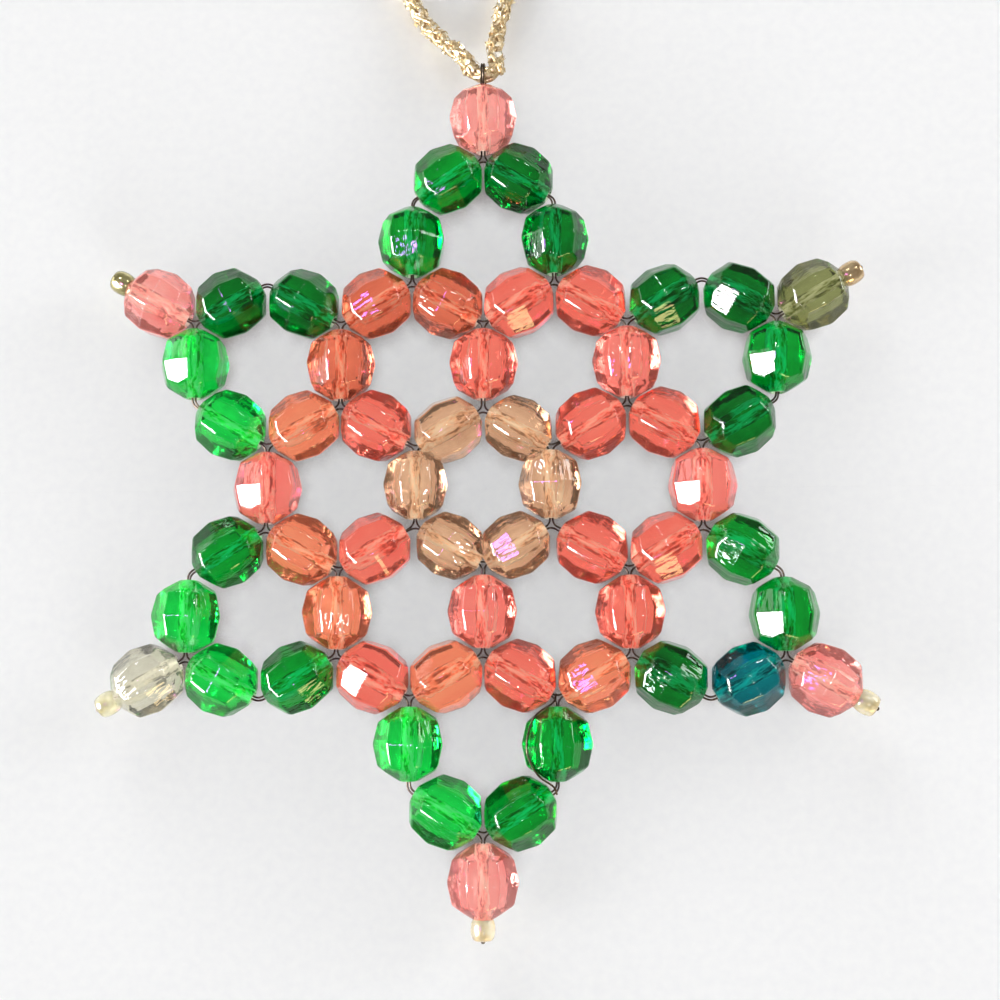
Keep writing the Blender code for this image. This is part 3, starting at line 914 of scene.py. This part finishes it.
# Beads that show a bright facet in the photograph
BRIGHT = {
    "top_arm_bead_left_high",
    "upper_right_arm_bead_left_high",
    "upper_right_arm_bead_right_high",
    "upper_right_arm_bead_right_low",
    "upper_right_corner_bead",
    "lower_right_arm_bead_left_low",
    "lower_right_arm_bead_left_high",
    "lower_left_tip_bead",
    "upper_left_arm_bead_left_high",
    "upper_left_corner_bead",
    "lower_left_corner_bead",
    "bottom_corner_bead",
    "lower_right_arm_bead_right_low",
    "upper_left_arm_bead_right_high",
    "lower_left_arm_bead_left_low",
}
# The bead that shows a violet facet there
VIOLET_BEAD = "ring_bead_3"
# Turns that are tried within one facet's step, and how far a dull bead's facets keep from a glint
SPIN_STEPS = 36
DULL_ANGLE = math.radians(13)


def violet_facet(place, spin):
    """The way that the violet facet looks: of those on the bead's left half, the most upward."""
    turn = spun(place, spin).to_3x3()
    left = [turn @ normal for normal in NORMALS if (turn @ normal).x < 0]
    return max(left, key=lambda normal: normal.z)


def rest_spin(name, place):
    """A turn about the hole: the best glint for a bright bead and hardly any for a dull one."""
    turns = [2 * math.pi / FACETS * k / SPIN_STEPS for k in range(SPIN_STEPS)]
    marks = [glint(place, turn) for turn in turns]
    if name in BRIGHT:
        return turns[marks.index(max(marks))]
    if name == VIOLET_BEAD:
        return max(turns, key=lambda turn: violet_facet(place, turn).z)
    dull = [turn for turn, mark in zip(turns, marks) if mark < math.cos(DULL_ANGLE)]
    return RNG.choice(dull or [turns[marks.index(min(marks))]])


def shade_of(name):
    """The shade in the record's slot for that node, such as coral for coral_bead."""
    row = next(r for r in frame["record"]["subparts"] if r["node"] == name)
    return row["material_slot"].removesuffix("_bead")


# The beads that the fill lamp lights
LIT_BEADS = bpy.data.collections.new("lit_beads")
VIOLET = (0.66, 0.18, 1.0)
VIOLET_LAMP_DISTANCE, VIOLET_LAMP_SIZE, VIOLET_LAMP_POWER = 0.4, (0.05, 0.05), 0.4


def add_violet_lamp(place):
    """A lamp that stands where the violet facet mirrors it to the camera."""
    normal, centre = violet_facet(place, 0), place.translation
    view = (CAMERA_AT - centre).normalized()
    at = centre + (normal * 2 * normal.dot(view) - view) * VIOLET_LAMP_DISTANCE
    area_light("violet_lamp", at, VIOLET_LAMP_SIZE, VIOLET_LAMP_POWER, VIOLET)


def add_bead(name, mesh, place, shade, body, node):
    turned = spun(place, rest_spin(name, place))
    bead = new_object("acrylic_" + name, mesh, turned)
    for slot, look in zip(bead.material_slots, (acrylic(shade), bore_wall(shade))):
        slot.link = "OBJECT"
        slot.material = look
    # The white table would otherwise turn green and red with light from the beads
    bead.visible_diffuse = False
    LIT_BEADS.objects.link(bead)
    if name == VIOLET_BEAD:
        add_violet_lamp(turned)
    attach(bead, body)
    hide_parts(node)


STOPPER_HOLE_RADIUS, STOPPER_RADIUS, STOPPER_HALF_LENGTH = 0.5 * MM, 1.4 * MM, 1.22 * MM
# From the middle of a tip bead to the middle of its stopper bead
STOPPER_SHIFT = 5.16 * MM
STOPPER_TURNS, STOPPER_SECTION_POINTS = 28, 16


def stopper_mesh():
    """A small round glass bead: a rounded section turned about its hole."""
    middle = (STOPPER_HOLE_RADIUS + STOPPER_RADIUS) / 2
    reach = (STOPPER_RADIUS - STOPPER_HOLE_RADIUS) / 2
    shape = bmesh.new()
    rings = []
    for k in range(STOPPER_TURNS):
        angle = 2 * math.pi * k / STOPPER_TURNS
        ring = []
        for n in range(STOPPER_SECTION_POINTS):
            t = 2 * math.pi * n / STOPPER_SECTION_POINTS
            height = math.sin(t) * STOPPER_HALF_LENGTH
            radius = middle + reach * math.cos(t)
            ring.append(
                shape.verts.new((radius * math.cos(angle), radius * math.sin(angle), height))
            )
        rings.append(ring)
    for start, end in zip(rings, [*rings[1:], rings[0]]):
        for n in range(STOPPER_SECTION_POINTS):
            m = (n + 1) % STOPPER_SECTION_POINTS
            shape.faces.new((start[n], end[n], end[m], start[m]))
    return mesh_of(shape, "stopper_bead")


# How far the two beads of a ring pair are drawn together from the middles of their sides
RING_DRAW = 0.18 * MM


def add_beads():
    bead = bead_mesh("faceted_bead", BEAD_DIAMETER, BEAD_LENGTH)
    ring_bead = bead_mesh("ring_bead", RING_BEAD_DIAMETER, RING_BEAD_LENGTH)
    stopper = stopper_mesh()
    stopper.materials.append(None)
    for joint in frame["joints"]:
        node = joint["child"]
        if node == LOOP:
            continue
        centre, along = Vector(joint["pos_m"]), Vector(joint["axis"])
        place = bead_place(centre, along)
        add_bead(node.removesuffix("_with_stopper"), bead, place, shade_of(node), node, node)
        if "stopper" in node:
            arm = node.split("_tip")[0]
            beyond = place @ Matrix.Translation((0, 0, STOPPER_SHIFT))
            small = new_object(arm + "_stopper_bead", stopper, beyond)
            small.material_slots[0].link = "OBJECT"
            small.material_slots[0].material = stopper_look(arm)
            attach(small, node)
            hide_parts(node)
    for number, arm in enumerate(ARMS[0::2], start=1):
        node = f"ring_bead_pair_{number}"
        for k in (0, 1):
            first = ARMS.index(arm) + k
            start, end = ring_crossing(first), ring_crossing(first + 1)
            along = (end - start).normalized()
            draw = along * (RING_DRAW if k == 0 else -RING_DRAW)
            place = bead_place((start + end) / 2 + draw, along)
            name = f"ring_bead_{2 * number - 1 + k}"
            add_bead(name, ring_bead, place, "champagne", ROOT, node)


# Floor, backdrop and light

FLOOR_HEIGHT, FLOOR_HALF_SIZE = -0.42 * MM, 5.5
PAPER_COLOURS = ((0.3, (0.92, 0.92, 0.93)), (0.7, (0.95, 0.95, 0.95)))
# Painted shade: the paper's colour is darkened where beads close in round it, most in the narrow gaps
# from bead to bead, where little light reaches
GAP_REACH, GAP_SAMPLES = 6 * MM, 8
PAINTED_GAP_SHADE = ((0.18, (0.14, 0.10, 0.085)), (0.44, (1, 1, 1)))
BACKDROP_RADIUS, BACKDROP_DIVISIONS = 6.0, 4
BACKDROP_COLOURS = ((0.3, (0.84, 0.84, 0.85)), (0.7, (0.88, 0.88, 0.88)))


def add_stage():
    floor_shape = bmesh.new()
    bmesh.ops.create_grid(floor_shape, x_segments=2, y_segments=2, size=FLOOR_HALF_SIZE)
    floor = new_object("floor", mesh_of(floor_shape, "floor", smooth=False))
    floor.location.z = FLOOR_HEIGHT
    look = Shader("floor_paper", Roughness=0.75, Specular_IOR_Level=0.0)
    paper = look.ramp(look.noise(PAPER_FIBRE), PAPER_COLOURS)
    # Painted shade: ambient occlusion near the beads darkens the paper's base colour
    gaps = look.node("AmbientOcclusion", Distance=GAP_REACH, samples=GAP_SAMPLES)
    shade = look.ramp(gaps.outputs["AO"], PAINTED_GAP_SHADE)
    look.join(look.multiplied(paper, shade), look.bsdf.inputs["Base Color"])
    floor.data.materials.append(look.material)
    # Seen through a bead, the room's bright lower half stands for paper that the bead lights
    floor.visible_transmission = False

    # A pale surround for the low views, which lights nothing
    dome_shape = bmesh.new()
    bmesh.ops.create_icosphere(
        dome_shape, subdivisions=BACKDROP_DIVISIONS, radius=BACKDROP_RADIUS
    )
    dome = new_object("backdrop", mesh_of(dome_shape, "backdrop"))
    pale = Shader(
        "backdrop_paper", Roughness=1.0, Emission_Strength=1.0, Base_Color=(0, 0, 0, 1)
    )
    pale.colour(pale.noise(HAZE), BACKDROP_COLOURS, "Emission Color")
    dome.data.materials.append(pale.material)
    for kind in ("diffuse", "glossy", "transmission", "volume_scatter", "shadow"):
        setattr(dome, "visible_" + kind, False)


def sky_light(name, toward, width, strength):
    """Even light from a patch of sky some degrees wide, for diffuse surfaces alone."""
    data = bpy.data.lights.new(name, "SUN")
    data.angle = math.radians(width)
    data.energy = strength
    lamp = link(bpy.data.objects.new(name, data))
    lamp.rotation_mode = "QUATERNION"
    lamp.rotation_quaternion = Vector(toward).to_track_quat("Z", "Y")
    for kind in ("camera", "glossy", "transmission"):
        setattr(lamp, "visible_" + kind, False)


# How bright the room is by the height of a look: 0 is level or downward and 1 straight up
ROOM_LEVELS = ((0.0, 1.02), (0.03, 0.22), (0.75, 0.18))
# Lamps for glints, which light no table: place, size, power and colour
WHITE, WARM = (1, 1, 1), (1.0, 0.74, 0.34)
GLINT_LAMPS = {
    "window": (WINDOW, (0.30, 0.24), 13.0, WHITE),
    "left_wall": ((-0.5, 0.0, 0.12), (0.7, 0.3), 2.0, WHITE),
    "side_lamp": ((0.36, 0.16, 0.10), (0.16, 0.10), 0.5, WHITE),
    "warm_lamp": ((0.16, -0.34, 0.10), (0.20, 0.10), 0.8, WARM),
    "small_lamp_1": ((0.26, 0.30, 0.42), (0.04, 0.04), 0.5, WHITE),
    "small_lamp_2": ((-0.16, 0.36, 0.46), (0.04, 0.04), 0.5, WHITE),
    "small_lamp_3": ((-0.30, -0.30, 0.42), (0.04, 0.04), 0.5, WHITE),
    "small_lamp_4": ((0.12, -0.24, 0.60), (0.04, 0.04), 0.5, WHITE),
}
# Soft light on the beads alone, for their cloudy acrylic and the walls of their holes
FILL_LAMP = ((0.0, 0.1, 0.6), (2.4, 2.4), 18.0)
# Patches of sky: the way to one, its width in degrees and its strength
SKY_ABOVE = ((0.05, 0.1, 1.0), 130, 0.56)
SKY_SIDES, SKY_SIDE_START, SKY_SIDE_HEIGHT = 4, 20, 0.27
SKY_SIDE_WIDTH, SKY_SIDE_STRENGTH = 36, 1.9


def add_light():
    world = bpy.data.worlds.new("soft_room")
    SCENE.world = world
    world.use_nodes = True
    tree = world.node_tree
    background = tree.nodes["Background"]
    coords = tree.nodes.new("ShaderNodeTexCoord")
    split = tree.nodes.new("ShaderNodeSeparateXYZ")
    ramp = tree.nodes.new("ShaderNodeValToRGB")
    tree.links.new(coords.outputs["Generated"], split.inputs["Vector"])
    tree.links.new(split.outputs["Z"], ramp.inputs["Fac"])
    tree.links.new(ramp.outputs["Color"], background.inputs["Color"])
    points = ramp.color_ramp.elements
    points.new(0.5)
    for point, (position, level) in zip(points, ROOM_LEVELS):
        point.position, point.color = position, (level, level, level, 1)
    for name, (at, size, power, colour) in GLINT_LAMPS.items():
        area_light(name, at, size, power, colour)
    fill = area_light("bead_fill", *FILL_LAMP, unlit=("glossy", "transmission"))
    fill.light_linking.receiver_collection = LIT_BEADS
    sky_light("soft_top", *SKY_ABOVE)
    for number in range(SKY_SIDES):
        turn = math.radians(360 / SKY_SIDES * number + SKY_SIDE_START)
        toward = (math.cos(turn), math.sin(turn), SKY_SIDE_HEIGHT)
        sky_light(f"soft_side_{number}", toward, SKY_SIDE_WIDTH, SKY_SIDE_STRENGTH)


add_camera()
add_cord()
add_wire()
add_beads()
add_stage()
add_light()
SCENE.view_settings.view_transform = "Standard"
